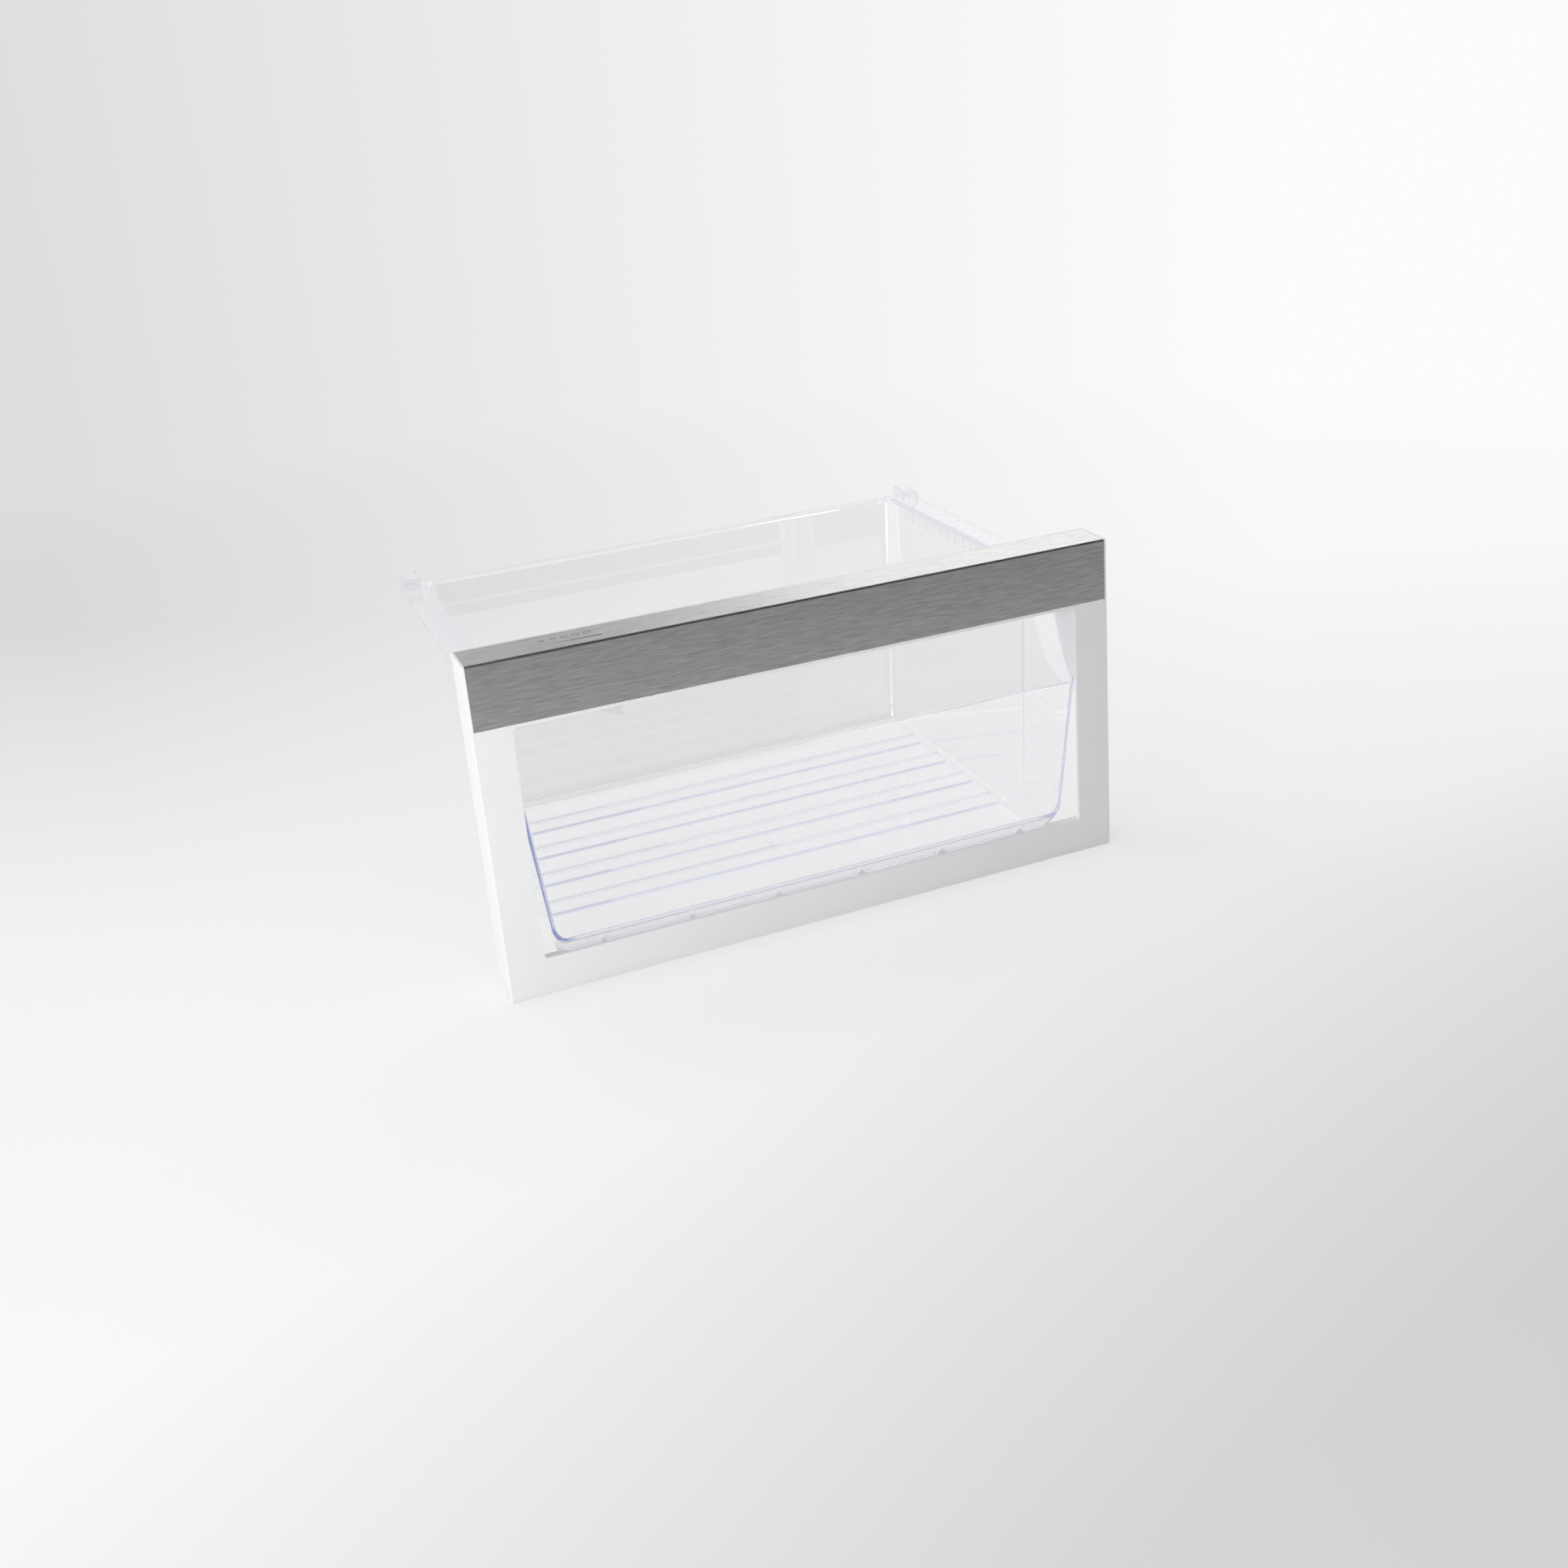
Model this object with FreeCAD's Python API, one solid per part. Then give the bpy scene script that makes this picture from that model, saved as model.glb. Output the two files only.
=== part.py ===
import FreeCAD, Part
import math
import os
from FreeCAD import Vector

# Fridge crisper drawer: a clear moulded tub snapped into a white front frame, with a folded
# steel trim as its grip and a humidity slider in the hollow behind it. Sizes are in millimetres.
# X runs across the front, Y from the front face to the back, Z up from the frame's bottom edge.

# Whole drawer
frame_width = 430.0
frame_height = 223.0
overall_depth = 284.0
seat_clearance = 0.3

# White front frame, an open-backed moulding
frame_depth = 31.0
frame_wall = 2.5
frame_edge_radius = 0.5
heel_rise = 8.0
stile_width = 24.0
rail_height = 24.4
window_radius = 3.0
window_lip = 2.0
cheek_wall = 2.2
cheek_gap = 0.6
rear_lip_wall = 2.2
rear_lip_height = 35.0
support_rib_wall = 2.0
support_rib_count = 6
support_rib_pitch = 60.0
support_rib_drop = 2.0

# Folded steel trim over the frame's top edge
trim_height = 41.5
trim_depth = 29.0
trim_sheet = 0.7
trim_bend_inside = 0.8
trim_inset = 1.4
trim_end_gap = 0.1

# Clear tub
tub_wall = 2.2
rim_drop = 28.0
side_draft = 3.56
back_draft = 3.5
front_draft = 2.7
window_overlap = 1.0
front_gap = 1.1
crease_drop = 55.5
scoop_radius = 83.8
joggle = 8.7
joggle_low = 3.3
front_section = 16.7
joggle_setback = 13.6
joggle_lead = 6.0
sill_rise = 14.5
floor_fillet = 6.0
back_corner_inside = 8.0
front_corner_inside = 1.0
mouth_radius = 3.5

# Flange that hangs the tub on the fridge's runners
flange_sheet = 2.0
flange_inset = 10.0
back_flange = 7.0
flange_lip = 4.5
flange_lip_wall = 2.0
flange_corner_inside = 3.0
gusset_wall = 1.2
gusset_pitch = 12.0
gusset_height = 12.0
gusset_back_margin = 22.0

# Stop blocks on the flange's rear corners
stop_width = 13.5
stop_length = 16.0
stop_height = 8.5
stop_shoulder = 4.5
stop_wall = 1.5
stop_back_margin = 4.0

# Raised bands across the tub's floor, and the gate mark
band_count = 4
band_width = 20.0
band_height = 0.8
band_ramp = 3.0
bead_width = 1.8
bead_height = 1.0
band_pitch = 43.5
band_first = 88.5
gate_from_front = 108.0
gate_radius = 2.5
gate_height = 0.5

# Humidity slider, with its vents and guides in the frame's rear lip
slider_sheet = 2.0
slider_from_edge = 56.0
tab_width = 14.0
tab_margin = 3.0
tab_reach = 15.5
tab_slant = 6.5
tab_corner_radius = 1.5
tab_clearance = 1.5
arm_height = 5.0
guide_wall = 1.8
guide_grip = 3.0
vent_count = 4
vent_width = 5.0
vent_margin = 6.0
vent_pitch = 11.2
travel_pitch_count = 2.5

# Snap lugs that hold the frame on the tub
lug_width = 14.0
lug_height = 3.0
lug_depth = 1.6
lug_below_rim = 1.0
lug_play = 0.5
lug_spacing = 120.0
lug_count = 3

# Places that follow from the sizes above
embed = 0.5
half_width = frame_width / 2
window_half = half_width - stile_width
window_top = frame_height - trim_height - window_lip
rim_z = frame_height - rim_drop
crease_z = frame_height - trim_height - crease_drop
side_slope = math.tan(math.radians(side_draft))
back_slope = math.tan(math.radians(back_draft))
front_slope = math.tan(math.radians(front_draft))
side_slant = math.hypot(1, side_slope)
top_inside = frame_height - trim_sheet - frame_wall
heel_slope = heel_rise / (frame_depth - frame_wall)
heel_top = heel_rise + frame_wall
lip_bottom = frame_height - rear_lip_height
lip_front = frame_depth - rear_lip_wall

floor_z = heel_top
front_face = frame_wall + front_gap
joggle_front = front_face + front_section
joggle_back = frame_depth + joggle_setback
joggle_length = joggle_back - joggle_front
sill_slope = (seat_clearance + tub_wall) / joggle_setback
joggle_floor = floor_z + sill_slope * joggle_length
sill_floor = joggle_floor + sill_rise
crease_half = window_half + window_overlap - tub_wall - joggle
grip_face = frame_depth + seat_clearance
scoop_y = grip_face - scoop_radius
scoop_z = crease_z + math.sqrt(scoop_radius ** 2 - (front_face - scoop_y) ** 2)
back_inside = overall_depth - back_flange
flange_half = half_width - flange_inset
flange_under = rim_z - flange_sheet

lug_bottom = rim_z - lug_below_rim - lug_height
lug_places = [(i - (lug_count - 1) / 2) * lug_spacing for i in range(lug_count)]

plate_back = lip_front - seat_clearance
plate_front = plate_back - slider_sheet
guide_back = plate_front - seat_clearance
guide_front = guide_back - guide_wall
tab_back = guide_front - tab_clearance
tab_front = tab_back - slider_sheet
slider_left = slider_from_edge - window_half
tab_left = slider_left + tab_margin
tab_right = tab_left + tab_width
slider_travel = travel_pitch_count * vent_pitch
shutter_slots = [tab_right + vent_margin + vent_width / 2 + i * vent_pitch for i in range(vent_count)]
slider_right = shutter_slots[-1] + vent_width / 2 + vent_margin
guide_floor = rim_z + lug_play
plate_bottom = guide_floor + guide_wall + seat_clearance
plate_top = top_inside - seat_clearance
slot_bottom = plate_bottom + guide_grip + seat_clearance
slot_top = plate_top - guide_grip - seat_clearance
arm_middle = (slot_bottom + slot_top) / 2

REACH = 2 * (frame_width + frame_height + overall_depth)


def box(x0, x1, y0, y1, z0, z1):
    return Part.makeBox(x1 - x0, y1 - y0, z1 - z0, Vector(x0, y0, z0))


def prism_x(points, x0, x1):
    """Extrude a closed outline of (y, z) points along X."""
    wire = Part.makePolygon([Vector(x0, y, z) for y, z in points + points[:1]])
    return Part.Face(wire).extrude(Vector(x1 - x0, 0, 0))


def prism_y(points, y0, y1):
    """Extrude a closed outline of (x, z) points along Y."""
    wire = Part.makePolygon([Vector(x, y0, z) for x, z in points + points[:1]])
    return Part.Face(wire).extrude(Vector(0, y1 - y0, 0))


def both_sides(shape):
    return [shape, shape.mirror(Vector(0, 0, 0), Vector(1, 0, 0))]


def near(a, b):
    return abs(a - b) < 0.01


def edges_where(shape, test):
    """Edges whose ends and middle all pass the test."""
    chosen = []
    for edge in shape.Edges:
        middle = edge.valueAt((edge.FirstParameter + edge.LastParameter) / 2)
        if all(test(point) for point in [vertex.Point for vertex in edge.Vertexes] + [middle]):
            chosen.append(edge)
    return chosen


def front_plane(z):
    """The tub's outer front face leans forward as it rises."""
    return front_face + (crease_z - z) * front_slope


def back_plane(z):
    """The tub's inner back face leans back as it rises."""
    return back_inside - (rim_z - z) * back_slope


def side_inside(z):
    """Half the tub's inner width behind the joggle, wider towards the rim."""
    return crease_half + (z - crease_z) * side_slope


def joggle_at(z):
    """How far the front section stands out beyond the sides behind it, more towards the rim."""
    return joggle_low + (joggle - joggle_low) * (z - floor_z) / (crease_z - floor_z)


def tub_ring(plane, floor, skin, top, stand_out):
    """The four corners of the tub's cross-section in a leaning plane, from left rim to right rim."""
    def side(z):
        return side_inside(z) + skin * side_slant + stand_out * joggle_at(z)

    return [Vector(-side(top), plane(top), top), Vector(-side(floor), plane(floor), floor),
            Vector(side(floor), plane(floor), floor), Vector(side(top), plane(top), top)]


def flat_face(corners):
    """A flat face with these corners."""
    return Part.Face(Part.makePolygon(corners + corners[:1]))


def ruled_face(a, b, c, d):
    """The face between the edges ab and cd, flat where their directions agree and twisted where not."""
    if near(d.distanceToPlane(a, (b - a).cross(c - a)), 0):
        return flat_face([a, b, d, c])
    return Part.makeRuledSurface(Part.LineSegment(a, b).toShape(), Part.LineSegment(c, d).toShape())


def tub_form(skin, top):
    """The tub as a block, grown by skin: flat sides between rings, then rounded corners."""
    def back(z):
        return back_plane(z) + skin * math.hypot(1, back_slope)

    def front(z):
        return front_plane(z) + (tub_wall - skin) * math.hypot(1, front_slope)

    def joggle_line(y):
        return lambda z: y + (z - floor_z) * back_slope

    lead = joggle_lead / (joggle_lead + joggle_length)
    rings = [tub_ring(back, floor_z - skin, skin, top, 0),
             tub_ring(joggle_line(joggle_back + joggle_lead), floor_z - skin, skin, top, 0),
             tub_ring(joggle_line(joggle_back), floor_z - skin, skin, top, lead),
             tub_ring(joggle_line(joggle_front), joggle_floor - skin, skin, top, 1),
             tub_ring(front, sill_floor - skin, skin, top, 1)]
    faces = [flat_face(rings[0][::-1]), flat_face(rings[-1])]
    for ring, following in zip(rings, rings[1:]):
        faces += [ruled_face(ring[i - 1], ring[i], following[i - 1], following[i]) for i in range(4)]
    shell = Part.makeShell(faces)
    shell.sewShape()
    form = Part.makeSolid(shell).removeSplitter()
    chines = [edge for edge in form.Edges if is_chine(edge, rings)]
    form = form.makeFillet(floor_fillet + skin, chines)
    for plane, radius in ((back, back_corner_inside + skin), (front, front_corner_inside + skin)):
        corner = edges_where(form, lambda p: near(p.y, plane(p.z)))
        corner = [edge for edge in corner if not all(near(vertex.Z, top) for vertex in edge.Vertexes)]
        form = form.makeFillet(radius, corner)
    half = form.common(box(0, REACH, -REACH, REACH, -REACH, REACH))
    return half.fuse(both_sides(half)[1]).removeSplitter()


def is_chine(edge, rings):
    """Whether an edge joins the same lower corner of two rings."""
    ends = [vertex.Point for vertex in edge.Vertexes]
    return any(all(any(end.isEqual(ring[i], 0.01) for ring in rings) for end in ends) for i in (1, 2))


def scoop_arc(x, radius, start_y):
    """Arc of the finger scoop, from the crease up to where it stands upright."""
    start_z = scoop_z - math.sqrt(radius ** 2 - (start_y - scoop_y) ** 2)
    turn = math.atan2(start_z - scoop_z, start_y - scoop_y) / 2
    start = Vector(x, start_y, start_z)
    middle = Vector(x, scoop_y + radius * math.cos(turn), scoop_z + radius * math.sin(turn))
    end = Vector(x, scoop_y + radius, scoop_z)
    return start, middle, end


def scoop_side(x0, x1, radius, start_y, front_y, top):
    """Everything in front of the scoop's arc, between two X places."""
    start, middle, end = scoop_arc(x0, radius, start_y)
    corners = [end, Vector(x0, end.y, top), Vector(x0, front_y, top), Vector(x0, front_y, start.z)]
    if not near(front_y, start.y):
        corners.append(start)
    edges = [Part.Arc(start, middle, end).toShape()]
    edges += [Part.LineSegment(a, b).toShape() for a, b in zip(corners, corners[1:])]
    return Part.Face(Part.Wire(edges)).extrude(Vector(x1 - x0, 0, 0))


def flange():
    """Rim all round the tub's mouth behind the frame, with a turned-down lip."""
    def slab(inset, z0, z1, radius):
        plate = box(inset - flange_half, flange_half - inset, grip_face, overall_depth - inset, z0, z1)
        corner = edges_where(plate, lambda p: near(p.y, overall_depth - inset) and
                             near(abs(p.x), flange_half - inset))
        return plate.makeFillet(radius, corner)

    rim = slab(0, rim_z - flange_lip, rim_z, flange_corner_inside + flange_lip_wall)
    return rim.cut(slab(flange_lip_wall, rim_z - flange_lip - embed, flange_under, flange_corner_inside))


def gussets():
    """Thin webs under the side flanges."""
    lip_inside = flange_half - flange_lip_wall + embed
    inner = side_inside(rim_z) + tub_wall / 2
    inner_low = side_inside(rim_z - gusset_height) + tub_wall / 2
    outline = [(inner_low, rim_z - gusset_height), (lip_inside, rim_z - flange_lip),
               (lip_inside, flange_under + embed), (inner, flange_under + embed)]
    first = grip_face + gusset_pitch
    count = int((back_inside - gusset_back_margin - first) / gusset_pitch) + 1
    webs = []
    for i in range(count):
        y = first + i * gusset_pitch
        webs += both_sides(prism_y(outline, y - gusset_wall / 2, y + gusset_wall / 2))
    return webs


def stop_block(wall, bottom):
    """Rear stop with a sloped outer shoulder, shrunk by wall to make its core."""
    inner = flange_half - stop_width + wall
    outer = flange_half - wall
    top = rim_z + stop_height - wall
    back = overall_depth - stop_back_margin
    outline = [(inner, bottom), (inner, top), (outer - stop_shoulder, top),
               (outer, top - stop_shoulder), (outer, bottom)]
    return prism_y(outline, back - stop_length + wall, back - wall)


def floor_details():
    """Raised bands, with a ramp in front and a bead behind, and the round mark of the mould's gate."""
    half = side_inside(rim_z)
    details = []
    for i in range(band_count):
        front = band_first + i * band_pitch - band_width / 2
        back = front + band_width
        top = floor_z + band_height
        bead = back - bead_width
        outline = [(front, floor_z - embed), (front, floor_z), (front + band_ramp, top), (bead, top),
                   (bead + bead_height, top + bead_height), (back, top + bead_height),
                   (back, floor_z - embed)]
        details.append(prism_x(outline, -half, half))
    details.append(Part.makeCylinder(gate_radius, gate_height + embed,
                                     Vector(0, gate_from_front, floor_z - embed)))
    return details


def crisper_tub():
    hollow_top = rim_z + stop_height
    hollow = tub_form(0, hollow_top)
    hollow = hollow.cut(scoop_side(-half_width, half_width, scoop_radius + tub_wall,
                                   front_face + tub_wall - embed, -REACH, REACH))
    hollow = hollow.cut(floor_details())
    tub = tub_form(tub_wall, rim_z - flange_sheet / 2)
    tub = tub.cut(scoop_side(-half_width, half_width, scoop_radius, front_face - embed, -REACH, REACH))
    lugs = [box(x - lug_width / 2, x + lug_width / 2, grip_face - lug_depth, grip_face + embed,
                lug_bottom, lug_bottom + lug_height) for x in lug_places]
    tub = tub.fuse([flange()] + gussets() + both_sides(stop_block(0, flange_under)) + lugs)
    tub = tub.cut([hollow] + both_sides(stop_block(stop_wall, flange_under - embed))).removeSplitter()
    mouth = edges_where(tub, lambda p: near(p.z, rim_z) and abs(p.x) < side_inside(rim_z) + embed and
                        grip_face + mouth_radius + joggle < p.y < back_inside + embed)
    return tub.makeFillet(mouth_radius, mouth)


def frame_shell():
    """Plate, side returns, sloped heel and top wall, open at the back."""
    block = prism_x([(0, 0), (frame_wall, 0), (frame_depth, heel_rise), (frame_depth, frame_height),
                     (0, frame_height)], -half_width, half_width)
    block = block.makeFillet(frame_edge_radius, edges_where(block, lambda p: near(p.y, 0)))
    pocket = prism_x([(frame_wall, frame_wall), (frame_depth + embed, heel_top + heel_slope * embed),
                      (frame_depth + embed, top_inside), (frame_wall, top_inside)],
                     frame_wall - half_width, half_width - frame_wall)
    window = box(-window_half, window_half, -embed, frame_wall + embed, rail_height, window_top)
    window = window.makeFillet(window_radius, edges_where(window, lambda p: near(abs(p.x), window_half) and
                                                          (near(p.z, rail_height) or near(p.z, window_top))))
    return block.cut([pocket, window])


def trim_seat(shell):
    """Recess for the steel trim, with its top front edge eased for the fold."""
    half = half_width - trim_inset
    shell = shell.cut([box(-half, half, -embed, trim_sheet, frame_height - trim_height, frame_height + embed),
                       box(-half, half, -embed, trim_depth, frame_height - trim_sheet, frame_height + embed)])
    fold = edges_where(shell, lambda p: near(p.y, trim_sheet) and near(p.z, frame_height - trim_sheet))
    return shell.makeFillet(trim_bend_inside + seat_clearance, fold)


def frame_guides():
    """Rails that hold the slider against the rear lip, closed at both ends."""
    left = slider_left - slider_travel - seat_clearance
    right = slider_right + seat_clearance
    lip = lip_front + embed
    return [
        box(left, right, guide_front, lip, guide_floor, guide_floor + guide_wall),
        box(left, right, guide_front, guide_back, guide_floor, plate_bottom + guide_grip),
        box(left, right, guide_front, guide_back, plate_top - guide_grip, top_inside + embed),
        box(left - guide_wall, left, guide_front, lip, guide_floor, top_inside + embed),
        box(right, right + guide_wall, guide_front, lip, guide_floor, top_inside + embed),
    ]


def support_ribs():
    """Short ribs on the heel that carry the tub's front edge."""
    under_joggle = joggle_floor - tub_wall - seat_clearance
    back = frame_depth - embed
    under_back = under_joggle - sill_slope * (back - joggle_front)
    top = rail_height - support_rib_drop
    steepness = sill_rise / (joggle_front - front_plane(sill_floor))
    outline = [(frame_wall - embed, frame_wall - embed), (frame_wall, frame_wall - embed),
               (back, heel_top - (heel_slope + 1) * embed), (back, under_back),
               (joggle_front, under_joggle), (joggle_front - (top - under_joggle) / steepness, top),
               (frame_wall - embed, top)]
    ribs = []
    for i in range(support_rib_count):
        x = (i - (support_rib_count - 1) / 2) * support_rib_pitch
        ribs.append(prism_x(outline, x - support_rib_wall / 2, x + support_rib_wall / 2))
    return ribs


def front_frame():
    frame = trim_seat(frame_shell())
    cheek = scoop_side(window_half, window_half + cheek_wall, scoop_radius - cheek_gap,
                       frame_wall - embed, frame_wall - embed, top_inside + embed)
    rear_lip = box(frame_wall - half_width - embed, half_width - frame_wall + embed,
                   lip_front, frame_depth, lip_bottom, top_inside + embed)
    frame = frame.fuse(both_sides(cheek) + [rear_lip] + frame_guides() + support_ribs())
    vents = [box(x - slider_travel - vent_width / 2, x - slider_travel + vent_width / 2,
                 lip_front - embed, frame_depth + embed, slot_bottom, slot_top) for x in shutter_slots]
    snaps = [box(x - lug_width / 2 - lug_play, x + lug_width / 2 + lug_play, lip_front - embed,
                 frame_depth + embed, lug_bottom - lug_play, lug_bottom + lug_height + lug_play)
             for x in lug_places]
    return frame.cut(vents + snaps).removeSplitter()


def steel_trim():
    half = half_width - trim_inset - trim_end_gap
    fold = trim_bend_inside + trim_sheet
    top = frame_height
    low = frame_height - trim_height

    def at(y, z):
        return Vector(-half, y, z)

    def fold_point(radius):
        return at(fold - radius * math.sqrt(0.5), top - fold + radius * math.sqrt(0.5))

    edges = [
        Part.LineSegment(at(0, low), at(0, top - fold)).toShape(),
        Part.Arc(at(0, top - fold), fold_point(fold), at(fold, top)).toShape(),
        Part.LineSegment(at(fold, top), at(trim_depth, top)).toShape(),
        Part.LineSegment(at(trim_depth, top), at(trim_depth, top - trim_sheet)).toShape(),
        Part.LineSegment(at(trim_depth, top - trim_sheet), at(fold, top - trim_sheet)).toShape(),
        Part.Arc(at(fold, top - trim_sheet), fold_point(trim_bend_inside),
                 at(trim_sheet, top - fold)).toShape(),
        Part.LineSegment(at(trim_sheet, top - fold), at(trim_sheet, low)).toShape(),
        Part.LineSegment(at(trim_sheet, low), at(0, low)).toShape(),
    ]
    return Part.Face(Part.Wire(edges)).extrude(Vector(2 * half, 0, 0))


def humidity_slider():
    """Slotted shutter with an arm over the guide and a tab that hangs below the trim as a slanted beak."""
    shutter = box(slider_left, slider_right, plate_front, plate_back, plate_bottom, plate_top)
    slots = [box(x - vent_width / 2, x + vent_width / 2, plate_front - embed, plate_back + embed,
                 slot_bottom, slot_top) for x in shutter_slots]
    arm = box(tab_left, tab_right, tab_front, plate_front + embed,
              arm_middle - arm_height / 2, arm_middle + arm_height / 2)
    tab_bottom = window_top - tab_reach
    tab_top = arm_middle + arm_height / 2
    tab = prism_y([(tab_left, tab_bottom + tab_slant), (tab_right, tab_bottom), (tab_right, tab_top),
                   (tab_left, tab_top)], tab_front, tab_back)
    tips = edges_where(tab, lambda p: near(p.z, tab_bottom) or near(p.z, tab_bottom + tab_slant))
    tab = tab.makeFillet(tab_corner_radius, tips)
    return shutter.cut(slots).fuse([arm, tab]).removeSplitter()


nodes = {
    "crisper_tub": crisper_tub(),
    "front_frame": front_frame(),
    "steel_trim": steel_trim(),
    "humidity_slider": humidity_slider(),
}

# The origin is at the middle of the footprint, at the height of the frame's bottom edge
os.makedirs("parts", exist_ok=True)
for name, shape in nodes.items():
    shape.translate(Vector(0, -overall_depth / 2, 0))
    shape.exportStep("parts/" + name + ".step")
    print(name, shape.isValid(), len(shape.Solids), round(shape.Volume / 1000, 1), shape.BoundBox)
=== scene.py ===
import math

import bpy
from mathutils import Euler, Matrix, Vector


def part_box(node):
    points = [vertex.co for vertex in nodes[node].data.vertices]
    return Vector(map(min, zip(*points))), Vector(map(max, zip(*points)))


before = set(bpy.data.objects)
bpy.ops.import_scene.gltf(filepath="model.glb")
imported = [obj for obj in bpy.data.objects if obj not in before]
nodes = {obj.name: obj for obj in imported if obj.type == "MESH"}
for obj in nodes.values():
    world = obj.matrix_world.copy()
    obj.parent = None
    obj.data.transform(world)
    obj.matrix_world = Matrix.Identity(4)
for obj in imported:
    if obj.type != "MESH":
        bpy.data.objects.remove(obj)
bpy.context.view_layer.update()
bpy.context.scene.view_settings.view_transform = "Standard"


# Front frame: one white ABS moulding, open at the back, with a fine satin texture from the mould.
# It snaps over the tub's front edge and carries the trim and the slider, so its finish comes first.
def new_material(name):
    """An empty material."""
    material = bpy.data.materials.new(name)
    material.use_nodes = True
    material.node_tree.nodes.clear()
    return material


def place(tree, kind, **settings):
    """A node in a tree: plain settings by name, sockets by their shown name with _ for spaces."""
    node = tree.nodes.new(kind)
    for key, value in settings.items():
        target = node.inputs.get(key.replace("_", " "))
        if hasattr(node, key):
            setattr(node, key, value)
        elif isinstance(value, bpy.types.NodeSocket):
            tree.links.new(value, target)
        else:
            target.default_value = value
    return node


def work_out(tree, operation, *operands):
    """A Math node on sockets and numbers, as the socket of its result."""
    node = place(tree, "ShaderNodeMath", operation=operation)
    for target, operand in zip(node.inputs, operands):
        if isinstance(operand, bpy.types.NodeSocket):
            tree.links.new(operand, target)
        else:
            target.default_value = operand
    return node.outputs[0]


def new_group(name, inputs, outputs):
    """A shader node group with its sockets; inputs give a starting value each."""
    group = bpy.data.node_groups.new(name, "ShaderNodeTree")
    for label, value in inputs.items():
        socket = group.interface.new_socket(label, in_out="INPUT", socket_type="NodeSocketFloat")
        socket.default_value = value
    for label in outputs:
        group.interface.new_socket(label, in_out="OUTPUT", socket_type="NodeSocketFloat")
    return group, place(group, "NodeGroupInput").outputs, place(group, "NodeGroupOutput").inputs


def mould_texture_group():
    """Fine grain of a mould's surface, and the slow unevenness of its gloss."""
    usual = {"Grain Scale": 900.0, "Cloud Scale": 14.0,
             "Base Roughness": 0.35, "Roughness Spread": 0.08}
    group, given, result = new_group("mould_texture", usual, ["Height", "Cloud", "Roughness"])
    where = place(group, "ShaderNodeTexCoord").outputs["Object"]
    grain = place(group, "ShaderNodeTexNoise", Vector=where, Scale=given["Grain Scale"], Detail=2.0)
    cloud = place(group, "ShaderNodeTexNoise", Vector=where, Scale=given["Cloud Scale"], Detail=3.0)
    uneven = work_out(group, "MULTIPLY_ADD", cloud.outputs["Fac"],
                      given["Roughness Spread"], given["Base Roughness"])
    group.links.new(grain.outputs["Fac"], result["Height"])
    group.links.new(cloud.outputs["Fac"], result["Cloud"])
    group.links.new(uneven, result["Roughness"])
    return group


mould_texture = mould_texture_group()


def finish_with(material, shader, volume=None):
    """The material, with this shader on its surface and this volume inside it."""
    tree = material.node_tree
    out = place(tree, "ShaderNodeOutputMaterial", Surface=shader.outputs[0])
    if volume:
        tree.links.new(volume.outputs[0], out.inputs["Volume"])
    return material


def satin_white():
    """White ABS with the fine grain of an eroded mould."""
    material = new_material("satin_white_abs")
    tree = material.node_tree
    texture = place(tree, "ShaderNodeGroup", node_tree=mould_texture)
    texture.inputs["Base Roughness"].default_value = 0.34
    shade = place(tree, "ShaderNodeValToRGB", Fac=texture.outputs["Cloud"])
    shade.color_ramp.elements[0].color = (0.845, 0.85, 0.855, 1.0)
    shade.color_ramp.elements[1].color = (0.875, 0.88, 0.885, 1.0)
    bump = place(tree, "ShaderNodeBump", Strength=0.08, Distance=0.0001,
                 Height=texture.outputs["Height"])
    shader = place(tree, "ShaderNodeBsdfPrincipled", Base_Color=shade.outputs["Color"], IOR=1.5,
                   Roughness=texture.outputs["Roughness"], Normal=bump.outputs["Normal"])
    return finish_with(material, shader)


def dress(node, material):
    """Put the material on the whole of a CAD piece."""
    nodes[node].data.materials.clear()
    nodes[node].data.materials.append(material)


dress("front_frame", satin_white())


# Steel trim: one strip of stainless sheet, folded once over the frame's top edge and glued on.
# It is brushed along its length before folding, and the humidity marks are printed on its top face.
trim_low, trim_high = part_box("steel_trim")
mark_count = 5
mark_pitch = 0.007
first_mark_x = -0.163
marks_y = trim_low[1] + 0.0185
smallest_mark = 0.0014
mark_growth = 0.0002
mark_line = 0.0006
wedge_y = trim_low[1] + 0.010
wedge_left = -0.166
wedge_length = 0.038
wedge_height = 0.0022
print_depth = 0.0001
short_stroke = (0.012, 0.0003)
long_stroke = (0.05, 0.001)
long_share = 0.15


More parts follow.
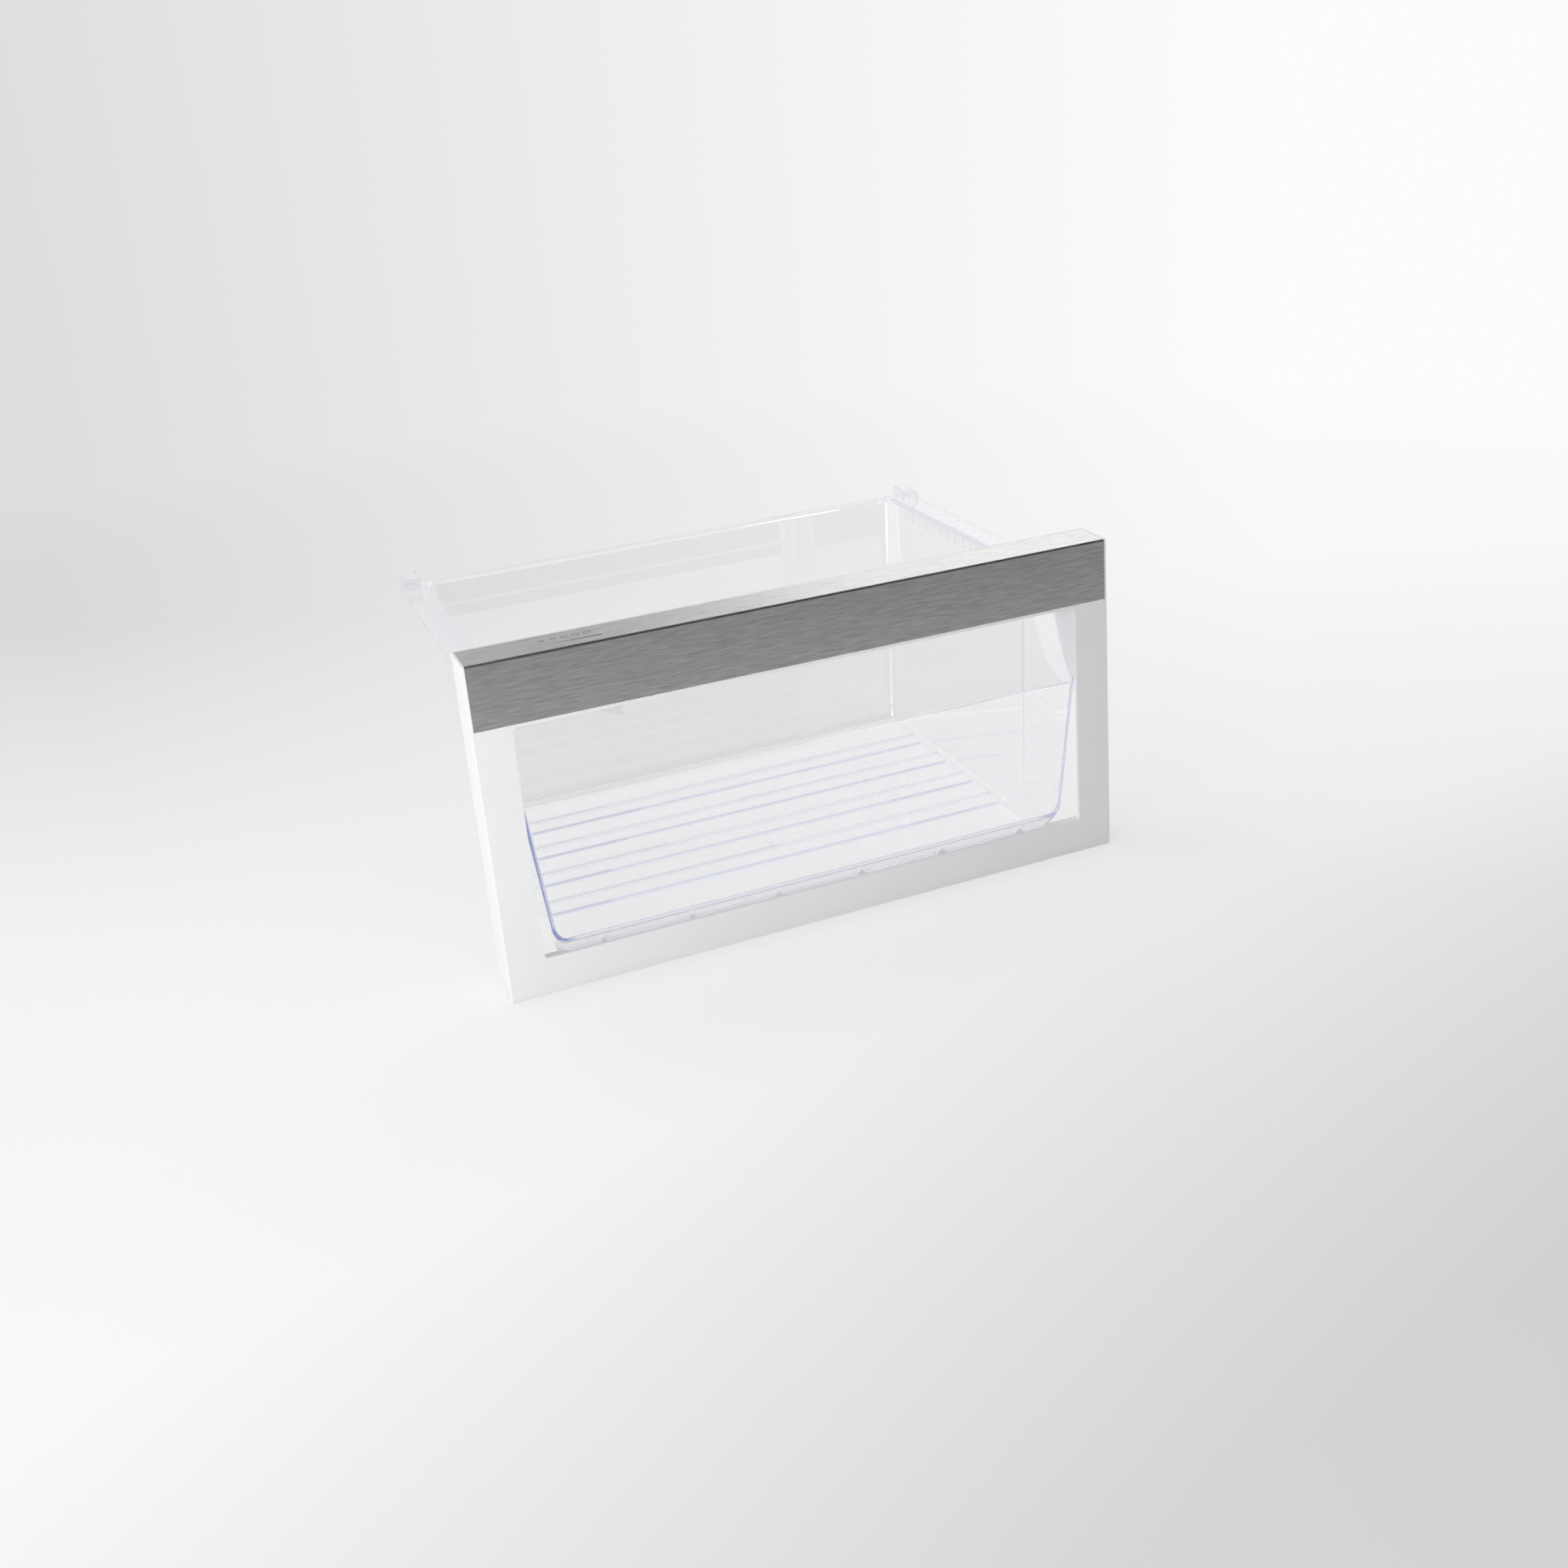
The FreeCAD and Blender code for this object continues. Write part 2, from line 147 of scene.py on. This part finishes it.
def printed_marks(tree, where):
    """Mask of the print: rings that grow to the right, over one slim wedge that grows with them."""
    split = place(tree, "ShaderNodeSeparateXYZ", Vector=where).outputs
    on_top = work_out(tree, "GREATER_THAN", split["Z"], trim_high[2] - print_depth)
    ink = None
    for i in range(mark_count):
        away_x = work_out(tree, "SUBTRACT", split["X"], first_mark_x + i * mark_pitch)
        away_y = work_out(tree, "SUBTRACT", split["Y"], marks_y)
        reach = work_out(tree, "SQRT", work_out(tree, "MULTIPLY_ADD", away_x, away_x,
                                                work_out(tree, "MULTIPLY", away_y, away_y)))
        from_line = work_out(tree, "SUBTRACT", reach, smallest_mark + i * mark_growth)
        ring = work_out(tree, "LESS_THAN", work_out(tree, "ABSOLUTE", from_line), mark_line / 2)
        ink = ring if ink is None else work_out(tree, "MAXIMUM", ink, ring)
    from_left = work_out(tree, "SUBTRACT", split["X"], wedge_left)
    along = work_out(tree, "DIVIDE", from_left, wedge_length)
    inside = work_out(tree, "COMPARE", along, 0.5, 0.5)
    half_high = work_out(tree, "MULTIPLY", along, wedge_height / 2)
    off_middle = work_out(tree, "ABSOLUTE", work_out(tree, "SUBTRACT", split["Y"], wedge_y))
    wedge = work_out(tree, "MULTIPLY", inside, work_out(tree, "LESS_THAN", off_middle, half_high))
    return work_out(tree, "MULTIPLY", on_top, work_out(tree, "MAXIMUM", ink, wedge))


def brush_strokes(tree, where, length, thickness):
    """Noise stretched along X into strokes of about this length and thickness."""
    stretch = place(tree, "ShaderNodeMapping", Vector=where,
                    Scale=(1 / length, 1 / thickness, 1 / thickness))
    strokes = place(tree, "ShaderNodeTexNoise", Vector=stretch.outputs["Vector"],
                    Scale=1.0, Detail=2.0)
    return strokes.outputs["Fac"]


def brushed_steel():
    """Bare stainless steel with fine strokes along X, and the dark print on its top."""
    material = new_material("brushed_stainless")
    tree = material.node_tree
    where = place(tree, "ShaderNodeTexCoord").outputs["Object"]
    short = work_out(tree, "MULTIPLY", brush_strokes(tree, where, *short_stroke), 1 - long_share)
    streak = work_out(tree, "MULTIPLY_ADD", brush_strokes(tree, where, *long_stroke), long_share, short)
    steel = place(tree, "ShaderNodeValToRGB", Fac=streak)
    steel.color_ramp.elements[0].position = 0.38
    steel.color_ramp.elements[0].color = (0.53, 0.53, 0.525, 1.0)
    steel.color_ramp.elements[1].position = 0.62
    steel.color_ramp.elements[1].color = (0.8, 0.8, 0.79, 1.0)
    ink = printed_marks(tree, where)
    colour = place(tree, "ShaderNodeMix", data_type="RGBA", Factor=ink)
    tree.links.new(steel.outputs["Color"], colour.inputs[6])
    colour.inputs[7].default_value = (0.16, 0.16, 0.16, 1.0)
    bare = work_out(tree, "SUBTRACT", 1.0, ink)
    rough = place(tree, "ShaderNodeMapRange", Value=streak, To_Min=0.32, To_Max=0.44)
    bump = place(tree, "ShaderNodeBump", Strength=0.25, Distance=0.0001, Height=streak)
    around = place(tree, "ShaderNodeTangent", direction_type="RADIAL", axis="X")
    shader = place(tree, "ShaderNodeBsdfPrincipled", Base_Color=colour.outputs[2], Metallic=bare,
                   Anisotropic=0.85, Roughness=rough.outputs["Result"],
                   Normal=bump.outputs["Normal"], Tangent=around.outputs["Tangent"])
    return finish_with(material, shader)


dress("steel_trim", brushed_steel())


# Crisper tub: one clear styrene moulding with 2.2 mm walls, polished in the mould.
# The walls hold a faint blue tint; rays that run long inside them end in a painted glow, blue in front
# and violet on the floor.
tub_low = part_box("crisper_tub")[0]
front_zone = 0.02
wall_foot = 0.165
wall_zone = 0.009
floor_zone = 0.006
sill_zone = 0.012
most_reflections = 2.5
most_crossings = 9.5


def painted_edge_glow(tree):
    """Painted glow where long-running rays end: blue in the front corners, less of it to the right,
    violet on the floor, pale elsewhere.
    """
    where = place(tree, "ShaderNodeTexCoord").outputs["Object"]
    split = place(tree, "ShaderNodeSeparateXYZ", Vector=where).outputs
    forward = work_out(tree, "LESS_THAN", split["Y"], tub_low[1] + front_zone)
    aside = place(tree, "ShaderNodeMapRange", Value=work_out(tree, "ABSOLUTE", split["X"]),
                  From_Min=wall_foot, From_Max=wall_foot + wall_zone)
    dim_side = place(tree, "ShaderNodeMapRange", Value=split["X"],
                     From_Min=-wall_foot, From_Max=wall_foot, To_Min=1.0, To_Max=0.5)
    at_wall = work_out(tree, "MULTIPLY", forward, aside.outputs["Result"])
    in_corner = work_out(tree, "MULTIPLY", at_wall, dim_side.outputs["Result"])
    low = work_out(tree, "LESS_THAN", split["Z"], tub_low[2] + floor_zone)
    on_floor = work_out(tree, "MULTIPLY", low, work_out(tree, "SUBTRACT", 1.0, forward))
    floor_glow_colour = place(tree, "ShaderNodeMix", data_type="RGBA", Factor=on_floor)
    floor_glow_colour.inputs[6].default_value = (0.76, 0.77, 0.83, 1.0)
    floor_glow_colour.inputs[7].default_value = (0.65, 0.66, 0.77, 1.0)
    glow_colour = place(tree, "ShaderNodeMix", data_type="RGBA", Factor=in_corner)
    tree.links.new(floor_glow_colour.outputs[2], glow_colour.inputs[6])
    glow_colour.inputs[7].default_value = (0.26, 0.30, 0.56, 1.0)
    # The painted glow: an emission on the clear plastic, though the tub is no lamp.
    return place(tree, "ShaderNodeEmission", Color=glow_colour.outputs[2])


def trapped_light(tree, path):
    """1 for rays that have run on inside the walls for long, sooner in the tight sill in front; these
    rays show the painted glow.
    """
    where = place(tree, "ShaderNodeTexCoord").outputs["Object"]
    split = place(tree, "ShaderNodeSeparateXYZ", Vector=where).outputs
    forward = work_out(tree, "LESS_THAN", split["Y"], tub_low[1] + sill_zone)
    low = work_out(tree, "LESS_THAN", split["Z"], tub_low[2] + sill_zone)
    at_sill = work_out(tree, "MULTIPLY", forward, low)
    most = work_out(tree, "SUBTRACT", most_reflections, at_sill)
    return work_out(tree, "MAXIMUM", work_out(tree, "GREATER_THAN", path["Glossy Depth"], most),
                    work_out(tree, "GREATER_THAN", path["Ray Depth"], most_crossings))


def clear_styrene():
    """Clear plastic that lets the lamps' light by and ends trapped rays in a painted glow at its edges.
    """
    material = new_material("clear_styrene")
    tree = material.node_tree
    texture = place(tree, "ShaderNodeGroup", node_tree=mould_texture)
    texture.inputs["Cloud Scale"].default_value = 25.0
    texture.inputs["Base Roughness"].default_value = 0.0
    texture.inputs["Roughness Spread"].default_value = 0.02
    shader = place(tree, "ShaderNodeBsdfPrincipled", Base_Color=(1.0, 1.0, 1.0, 1.0), IOR=1.57,
                   Roughness=texture.outputs["Roughness"], Transmission_Weight=1.0)
    path = place(tree, "ShaderNodeLightPath").outputs
    body = place(tree, "ShaderNodeMixShader", Fac=trapped_light(tree, path))
    tree.links.new(shader.outputs[0], body.inputs[1])
    tree.links.new(painted_edge_glow(tree).outputs[0], body.inputs[2])
    lets_light_by = work_out(tree, "MAXIMUM", path["Is Shadow Ray"], path["Is Diffuse Ray"])
    mix = place(tree, "ShaderNodeMixShader", Fac=lets_light_by)
    passing = place(tree, "ShaderNodeBsdfTransparent", Color=(0.95, 0.95, 0.96, 1.0))
    tree.links.new(body.outputs[0], mix.inputs[1])
    tree.links.new(passing.outputs[0], mix.inputs[2])
    volume = place(tree, "ShaderNodeVolumeAbsorption", Color=(0.62, 0.68, 0.95, 1.0), Density=6.0)
    return finish_with(material, mix, volume)


dress("crisper_tub", clear_styrene())


# Humidity slider: a small pale translucent moulding that rides in the frame's guides behind the trim.
# Its beak hangs below the trim, where a finger moves it left and right.
def pale_translucent():
    """Nearly clear plastic with a satin face."""
    material = new_material("pale_translucent")
    tree = material.node_tree
    texture = place(tree, "ShaderNodeGroup", node_tree=mould_texture)
    texture.inputs["Base Roughness"].default_value = 0.12
    bump = place(tree, "ShaderNodeBump", Strength=0.05, Distance=0.0001,
                 Height=texture.outputs["Height"])
    shader = place(tree, "ShaderNodeBsdfPrincipled", Base_Color=(0.98, 0.98, 0.985, 1.0), IOR=1.5,
                   Roughness=texture.outputs["Roughness"], Normal=bump.outputs["Normal"],
                   Transmission_Weight=0.85)
    return finish_with(material, shader)


dress("humidity_slider", pale_translucent())


# Studio: a pale sheet that the drawer stands on, in a pale room with no horizon in view.
# The room is dark in front and overhead, so the steel shows a dark face and a dark fold.
left_tone = 0.72
right_tone = 0.975
front_tone = 0.885
# Painted shade: the sheet's glow is darker towards the front right.
front_painted_shade_tone = 0.673
floor_reach = 12.0
floor_front = 0.75
room_middle = (-0.37, -1.1, 0.0)
sheet_below = 0.0005
shadow_share = 0.42
# The paper's own lit tone plus painted shade, so the sheet is painted a little darker near the drawer.
paper_and_painted_shade_tone = 0.69
front_slant = (0.32, -1.54)
back_slant = 0.45


def seen_straight(tree):
    """1 for rays that show the surroundings, straight, in a reflection or through clear plastic."""
    path = place(tree, "ShaderNodeLightPath").outputs
    either = work_out(tree, "MAXIMUM", path["Is Camera Ray"], path["Is Transmission Ray"])
    return work_out(tree, "MAXIMUM", either, path["Is Glossy Ray"])


def backdrop_tone(tree, direction):
    """The room's tone behind the drawer, brighter towards the right."""
    level = place(tree, "ShaderNodeVectorMath", operation="NORMALIZE")
    tree.links.new(direction, level.inputs[0])
    split = place(tree, "ShaderNodeSeparateXYZ", Vector=level.outputs["Vector"]).outputs
    return place(tree, "ShaderNodeMapRange", Value=split["X"], From_Min=-0.05, From_Max=0.6,
                 To_Min=left_tone, To_Max=right_tone).outputs["Result"]


def backdrop_paper():
    """Paper that shows the drawer's shadow near it and glows with a painted tone: painted shade towards
    the front right and a little near the drawer, darker to the left and lighter to the right behind,
    running out into the room's tone.
    """
    material = new_material("backdrop_paper")
    tree = material.node_tree
    where = place(tree, "ShaderNodeTexCoord").outputs["Object"]
    reach = place(tree, "ShaderNodeVectorMath", operation="LENGTH")
    tree.links.new(where, reach.inputs[0])
    shadowed = place(tree, "ShaderNodeMapRange", Value=reach.outputs["Value"], From_Min=0.35,
                     From_Max=1.6, To_Min=shadow_share, To_Max=0.0).outputs["Result"]
    even = work_out(tree, "SUBTRACT", 1.0, shadowed)
    shown = work_out(tree, "MULTIPLY", seen_straight(tree), even)
    paper = place(tree, "ShaderNodeBsdfDiffuse", Color=(0.82, 0.82, 0.82, 1.0))
    split = place(tree, "ShaderNodeSeparateXYZ", Vector=where).outputs
    forward = work_out(tree, "MULTIPLY_ADD", split["X"], front_slant[0],
                       work_out(tree, "MULTIPLY", split["Y"], front_slant[1]))
    near = place(tree, "ShaderNodeMapRange", Value=forward, From_Min=0.43, From_Max=0.99,
                 To_Min=front_tone, To_Max=front_painted_shade_tone)
    backward = work_out(tree, "MULTIPLY_ADD", split["X"], back_slant, split["Y"])
    far = place(tree, "ShaderNodeMapRange", Value=backward, From_Min=-0.15, From_Max=0.65)
    outward = place(tree, "ShaderNodeVectorMath", operation="SUBTRACT")
    tree.links.new(where, outward.inputs[0])
    outward.inputs[1].default_value = room_middle
    # The sheet's glowing tone is painted light and shade: darker at the front right, darker to the left
    # and lighter to the right behind.
    tone = place(tree, "ShaderNodeMix", Factor=far.outputs["Result"], A=near.outputs["Result"],
                 B=backdrop_tone(tree, outward.outputs["Vector"]))
    paper_and_painted_shade = work_out(tree, "MULTIPLY", shadowed, paper_and_painted_shade_tone)
    wanting = work_out(tree, "SUBTRACT", tone.outputs["Result"], paper_and_painted_shade)
    glow = place(tree, "ShaderNodeEmission", Strength=work_out(tree, "DIVIDE", wanting, even))
    mix = place(tree, "ShaderNodeMixShader", Fac=shown)
    tree.links.new(paper.outputs[0], mix.inputs[1])
    tree.links.new(glow.outputs[0], mix.inputs[2])
    return finish_with(material, mix)


def floor_sheet():
    """The sheet of paper, a little below the drawer so that the two never share a plane."""
    mesh = bpy.data.meshes.new("floor_sheet")
    corners = [(-floor_reach, -floor_front, 0.0), (floor_reach, -floor_front, 0.0),
               (floor_reach, floor_reach, 0.0), (-floor_reach, floor_reach, 0.0)]
    mesh.from_pydata(corners, [], [(0, 1, 2, 3)])
    mesh.materials.append(backdrop_paper())
    sheet = bpy.data.objects.new("floor_sheet", mesh)
    bpy.context.collection.objects.link(sheet)
    sheet.location.z = -sheet_below


floor_sheet()


def studio_world():
    """The room as it is seen, and a plain fill for what it lights, stronger from the left."""
    world = bpy.data.worlds.new("studio_world")
    bpy.context.scene.world = world
    world.use_nodes = True
    tree = world.node_tree
    tree.nodes.clear()
    direction = place(tree, "ShaderNodeTexCoord").outputs["Generated"]
    split = place(tree, "ShaderNodeSeparateXYZ", Vector=direction).outputs
    front = place(tree, "ShaderNodeMapRange", Value=split["X"], From_Min=0.1, From_Max=0.6,
                  To_Min=0.11, To_Max=0.0)
    behind = place(tree, "ShaderNodeMapRange", Value=split["Y"], From_Min=-0.1, From_Max=0.25,
                   To_Min=front.outputs["Result"], To_Max=1.0)
    overhead = place(tree, "ShaderNodeMapRange", Value=split["Z"], From_Min=0.6, From_Max=0.8,
                     To_Min=1.0, To_Max=0.1)
    lift = place(tree, "ShaderNodeMapRange", Value=split["Z"], From_Min=0.15, From_Max=0.4,
                 To_Min=1.0, To_Max=1.15)
    high = work_out(tree, "MULTIPLY", lift.outputs["Result"], overhead.outputs["Result"])
    shaded = work_out(tree, "MULTIPLY", behind.outputs["Result"], high)
    tone = work_out(tree, "MULTIPLY", backdrop_tone(tree, direction), shaded)
    room = place(tree, "ShaderNodeBackground", Color=(1.0, 1.0, 1.0, 1.0), Strength=tone)
    aside = place(tree, "ShaderNodeMapRange", Value=split["X"], From_Min=-1.0, From_Max=0.2,
                  To_Min=0.54, To_Max=0.28)
    fill = place(tree, "ShaderNodeBackground", Color=(1.0, 1.0, 1.0, 1.0),
                 Strength=aside.outputs["Result"])
    mix = place(tree, "ShaderNodeMixShader", Fac=seen_straight(tree))
    tree.links.new(fill.outputs[0], mix.inputs[1])
    tree.links.new(room.outputs[0], mix.inputs[2])
    place(tree, "ShaderNodeOutputWorld", Surface=mix.outputs[0])


studio_world()


def soft_light(name, stand, aim, size, watts):
    """A softbox that stands at one point and is turned to another."""
    lamp = bpy.data.lights.new(name, "AREA")
    lamp.shape = "RECTANGLE"
    lamp.size, lamp.size_y = size
    lamp.energy = watts
    holder = bpy.data.objects.new(name, lamp)
    bpy.context.collection.objects.link(holder)
    holder.location = stand
    holder.rotation_euler = (Vector(aim) - Vector(stand)).to_track_quat("-Z", "Y").to_euler()


soft_light("back_softbox", (0.9, 0.88, 1.3), (0.1, 0.0, 0.2), (1.1, 1.0), 4.9)
soft_light("left_softbox", (-0.9, -0.88, 0.28), (0.0, 0.0, 0.1), (0.7, 0.7), 8.4)
soft_light("top_softbox", (-0.65, 0.3, 1.5), (0.0, 0.0, 0.1), (1.2, 1.2), 9.0)


# Camera: stands to the left of the drawer and above it, a little out of level, as in the photograph.
# The picture is square, 1932 pixels each way, cut from a wider frame, which the shift stands for.
camera = bpy.data.cameras.new("product_camera")
camera.sensor_width = 36.0
camera.lens = 39.974
camera.shift_x = -0.0153
camera.shift_y = -0.0713
camera.clip_start = 0.01
camera_stand = bpy.data.objects.new("product_camera", camera)
bpy.context.collection.objects.link(camera_stand)
camera_stand.location = (-0.36926, -1.09512, 0.55838)
camera_stand.rotation_euler = Euler([math.radians(angle) for angle in (69.3637, 4.1740, -22.6432)])
bpy.context.scene.camera = camera_stand
